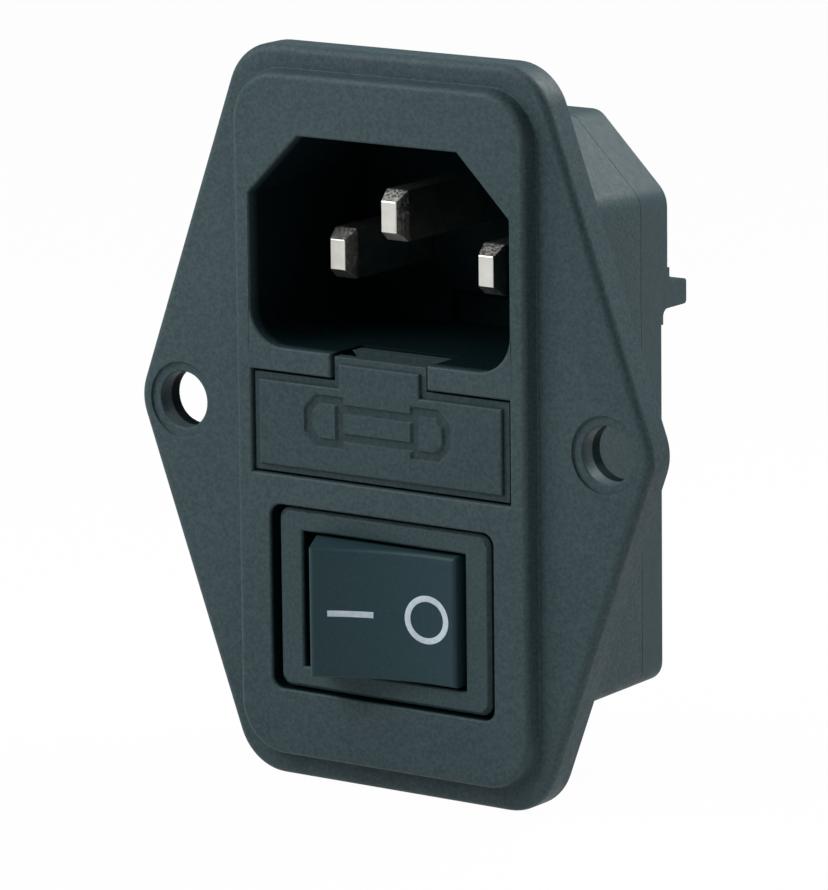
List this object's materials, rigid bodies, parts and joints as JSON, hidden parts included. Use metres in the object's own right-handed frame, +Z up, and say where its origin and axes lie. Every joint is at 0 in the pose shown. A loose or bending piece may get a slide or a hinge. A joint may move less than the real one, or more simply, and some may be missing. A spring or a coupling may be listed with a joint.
{
  "type": "power entry module",
  "caption": "Panel power entry module: screw flange with appliance inlet, fuse drawer and rocker switch over a closed body with push-on tabs.",
  "frame": {"origin": "on the flange's back face, midway between the two screw holes", "axes": "+X to the right as one faces the module, +Y to the rear, +Z up; it faces -Y"},
  "size_m": [0.0482, 0.0305, 0.058],
  "materials": {
    "moulding": "satin, fine grain",
    "rocker_plastic": "smooth satin",
    "plated_pin": "bright nickel plate",
    "plated_cap": "nickel plate",
    "brass_strip": "rolled",
    "silver": "polished silver alloy",
    "tube_glass": "clear",
    "wire": "bright",
    "spring_steel": "drawn wire",
    "plunger_plastic": "plain"
  },
  "bodies": {
    "module": {"housing": "moulding", "rear_cover": "moulding", "line_pin": "plated_pin", "neutral_pin": "plated_pin", "earth_pin": "plated_pin", "fuse_clip_line": "brass_strip", "fuse_clip_load": "brass_strip", "switch_case": "moulding", "common_terminal": "brass_strip", "load_terminal": "brass_strip", "fixed_contact": "silver"},
    "rocker": {"rocker": "rocker_plastic", "plunger_spring": "spring_steel"},
    "plunger": {"plunger": "plunger_plastic"},
    "contact_arm": {"contact_arm": "brass_strip", "moving_contact": "silver"},
    "fuse_drawer": {"fuse_drawer": "moulding", "fuse_tube": "tube_glass", "fuse_wire": "wire", "fuse_cap_left": "plated_cap", "fuse_cap_right": "plated_cap"}
  },
  "joints": [
    {"name": "rocker_tilt", "type": "hinge", "parent": "module", "child": "rocker", "pos_m": [0, -0.0006, -0.01432], "axis": [0, 0, -1], "range_deg": [0, 30]},
    {"name": "arm_tilt", "type": "hinge", "parent": "module", "child": "contact_arm", "pos_m": [0, 0.00758, -0.01432], "axis": [0, 0, -1], "range_deg": [-16, 0]},
    {"name": "plunger_press", "type": "slide", "parent": "rocker", "child": "plunger", "axis": [0.2588, -0.9659, 0], "range_m": [0, 0.0005], "stiffness_N_per_m": 200, "springref_m": -0.001, "deforming": ["plunger_spring"]},
    {"name": "drawer_slide", "type": "slide", "parent": "module", "child": "fuse_drawer", "axis": [0, -1, 0], "range_m": [0, 0.018]}
  ],
  "couplings": [
    {"joint": "arm_tilt", "follows": "rocker_tilt", "ratio": -0.5333}
  ]
}
